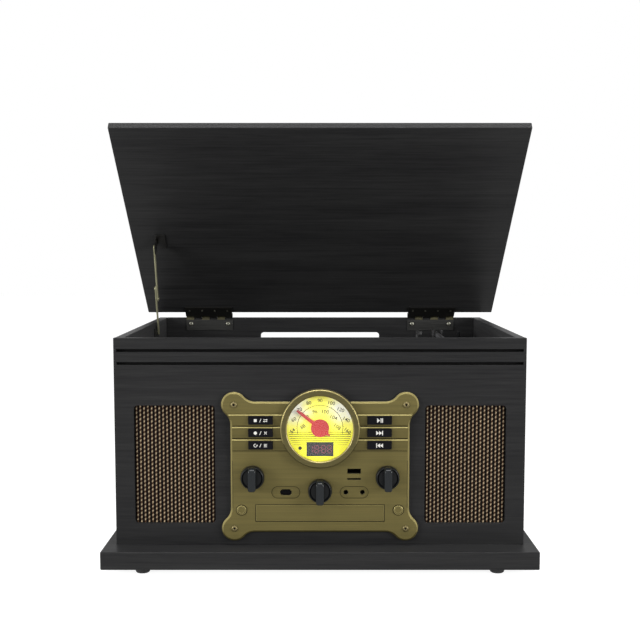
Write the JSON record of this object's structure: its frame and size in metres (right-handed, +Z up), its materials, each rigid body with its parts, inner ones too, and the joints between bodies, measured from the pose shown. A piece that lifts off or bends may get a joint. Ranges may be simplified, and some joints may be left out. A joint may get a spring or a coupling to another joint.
{
  "type": "record player",
  "caption": "Cabinet record player on a plinth with a stayed lid, belt-driven platter, tone arm, radio dial, knobs, buttons, disc drawer and cloth-covered loudspeakers.",
  "frame": {"origin": "on the floor, under the middle of the plinth", "axes": "+X to the right seen from the front, +Y to the back, +Z up"},
  "size_m": [0.45, 0.354, 0.4681],
  "materials": {
    "black_ash": "black stained, fine grain, satin",
    "antique_brass": "brushed antique",
    "dark_brass": "dark antique",
    "gloss_black": "polished",
    "matte_black": "fine matt",
    "board_green": "solder mask",
    "grille_fabric": "woven, black and gold",
    "cone_paper": "pressed pulp",
    "dial_yellow": "printed, lit from behind",
    "clear_glass": "polished",
    "display_dark": "tinted window",
    "pointer_red": "painted",
    "steel": "brushed",
    "rubber": "matt",
    "aluminium": "cast, turned"
  },
  "bodies": {
    "cabinet": {"plinth": "black_ash", "left_side_panel": "black_ash", "right_side_panel": "black_ash", "front_panel": "black_ash", "back_panel": "black_ash", "deck_battens": "black_ash", "deck_plate": "matte_black", "rear_sockets": "matte_black", "disc_housing": "matte_black", "tonearm_base": "matte_black", "arm_rest": "matte_black", "potentiometers": "matte_black", "feet": "rubber", "drive_belt": "rubber", "grille_cloths": "grille_fabric", "dial_cord": "grille_fabric", "speaker_baskets": "steel", "motor": "steel", "front_sockets": "steel", "spindle": "steel", "speaker_cones": "cone_paper", "control_plate": "antique_brass", "plate_screws": "antique_brass", "dial_bezel": "antique_brass", "hinge_body_leaves": "dark_brass", "hinge_pins": "dark_brass", "hinge_body_screws": "dark_brass", "stay_wall_bracket": "dark_brass", "dial_face": "dial_yellow", "dial_glass": "clear_glass", "display_module": "display_dark", "receiver_window": "display_dark", "circuit_boards": "board_green"},
    "lid": {"lid_panel": "black_ash", "hinge_lid_leaves": "dark_brass", "hinge_lid_screws": "dark_brass", "stay_lid_bracket": "dark_brass"},
    "stay_lower": {"stay_lower_bar": "dark_brass"},
    "stay_upper": {"stay_upper_bar": "dark_brass"},
    "platter": {"platter": "aluminium", "platter_mat": "rubber"},
    "motor_pulley": {"motor_pulley": "aluminium"},
    "arm_yoke": {"tonearm_yoke": "matte_black"},
    "arm": {"tonearm_tube": "steel", "headshell": "matte_black"},
    "cue_lever": {"cue_lever": "matte_black"},
    "speed_selector": {"speed_selector": "matte_black"},
    "volume_knob": {"volume_knob": "gloss_black"},
    "function_knob": {"function_knob": "gloss_black"},
    "tuning_knob": {"tuning_knob": "gloss_black"},
    "dial_pointer": {"dial_pointer": "pointer_red"},
    "disc_drawer": {"disc_drawer": "antique_brass"},
    "stop_button": {"stop_button": "gloss_black"},
    "record_button": {"record_button": "gloss_black"},
    "program_button": {"program_button": "gloss_black"},
    "play_button": {"play_button": "gloss_black"},
    "next_button": {"next_button": "gloss_black"},
    "previous_button": {"previous_button": "gloss_black"},
    "standby_button": {"standby_button": "antique_brass"},
    "eject_button": {"eject_button": "antique_brass"}
  },
  "joints": [
    {"name": "lid_hinge", "type": "hinge", "parent": "cabinet", "child": "lid", "pos_m": [0, 0.167, 0.2463], "axis": [-1, 0, 0], "range_deg": [-39.6, 0]},
    {"name": "stay_lower_pivot", "type": "hinge", "parent": "cabinet", "child": "stay_lower", "pos_m": [-0.2, 0.077, 0.231], "axis": [-1, 0, 0], "range_deg": [-68.2, 0]},
    {"name": "stay_upper_pivot", "type": "hinge", "parent": "lid", "child": "stay_upper", "pos_m": [-0.198, 0.03848, 0.33571], "axis": [-1, 0, 0], "range_deg": [-28.6, 0]},
    {"name": "platter_spin", "type": "hinge", "parent": "cabinet", "child": "platter", "pos_m": [-0.03003, 0.014, 0.205], "axis": [0, 0, 1], "continuous": true},
    {"name": "pulley_spin", "type": "hinge", "parent": "cabinet", "child": "motor_pulley", "pos_m": [-0.09802, -0.03361, 0.2], "axis": [0, 0, 1], "continuous": true},
    {"name": "tonearm_swing", "type": "hinge", "parent": "cabinet", "child": "arm_yoke", "pos_m": [0.15, 0.125, 0.215], "axis": [0, 0, -1], "range_deg": [0, 45]},
    {"name": "cue_lever_tilt", "type": "hinge", "parent": "cabinet", "child": "cue_lever", "pos_m": [0.178, 0.128, 0.2005], "axis": [-1, 0, 0], "range_deg": [0, 50]},
    {"name": "tonearm_lift", "type": "hinge", "parent": "arm_yoke", "child": "arm", "pos_m": [0.15, 0.125, 0.224], "axis": [-1, 0, 0], "range_deg": [0, 3]},
    {"name": "speed_selector_slide", "type": "slide", "parent": "cabinet", "child": "speed_selector", "axis": [0, 1, 0], "range_m": [0, 0.014]},
    {"name": "volume_turn", "type": "hinge", "parent": "cabinet", "child": "volume_knob", "pos_m": [-0.07, -0.15, 0.0985], "axis": [0, 1, 0], "range_deg": [-150, 150]},
    {"name": "function_turn", "type": "hinge", "parent": "cabinet", "child": "function_knob", "pos_m": [0, -0.15, 0.0846], "axis": [0, 1, 0], "range_deg": [-60, 60]},
    {"name": "tuning_turn", "type": "hinge", "parent": "cabinet", "child": "tuning_knob", "pos_m": [0.07, -0.15, 0.0985], "axis": [0, 1, 0], "range_deg": [-100, 280]},
    {"name": "pointer_turn", "type": "hinge", "parent": "cabinet", "child": "dial_pointer", "pos_m": [0, -0.15, 0.15], "axis": [0, 1, 0], "range_deg": [-50, 140]},
    {"name": "disc_drawer_slide", "type": "slide", "parent": "cabinet", "child": "disc_drawer", "axis": [0, -1, 0], "range_m": [0, 0.13]},
    {"name": "stop_press", "type": "slide", "parent": "cabinet", "child": "stop_button", "axis": [0, 1, 0], "range_m": [0, 0.0015], "stiffness_N_per_m": 300},
    {"name": "record_press", "type": "slide", "parent": "cabinet", "child": "record_button", "axis": [0, 1, 0], "range_m": [0, 0.0015], "stiffness_N_per_m": 300},
    {"name": "program_press", "type": "slide", "parent": "cabinet", "child": "program_button", "axis": [0, 1, 0], "range_m": [0, 0.0015], "stiffness_N_per_m": 300},
    {"name": "play_press", "type": "slide", "parent": "cabinet", "child": "play_button", "axis": [0, 1, 0], "range_m": [0, 0.0015], "stiffness_N_per_m": 300},
    {"name": "next_press", "type": "slide", "parent": "cabinet", "child": "next_button", "axis": [0, 1, 0], "range_m": [0, 0.0015], "stiffness_N_per_m": 300},
    {"name": "previous_press", "type": "slide", "parent": "cabinet", "child": "previous_button", "axis": [0, 1, 0], "range_m": [0, 0.0015], "stiffness_N_per_m": 300},
    {"name": "standby_press", "type": "slide", "parent": "cabinet", "child": "standby_button", "axis": [0, 1, 0], "range_m": [0, 0.0015], "stiffness_N_per_m": 300},
    {"name": "eject_press", "type": "slide", "parent": "cabinet", "child": "eject_button", "axis": [0, 1, 0], "range_m": [0, 0.0015], "stiffness_N_per_m": 300}
  ],
  "couplings": [
    {"joint": "stay_lower_pivot", "follows": "lid_hinge", "ratio": 1.7145},
    {"joint": "stay_upper_pivot", "follows": "lid_hinge", "ratio": 0.71453},
    {"joint": "pulley_spin", "follows": "platter_spin", "ratio": 12.754},
    {"joint": "tonearm_lift", "follows": "cue_lever_tilt", "ratio": 0.06},
    {"joint": "pointer_turn", "follows": "tuning_turn", "ratio": 0.5}
  ]
}
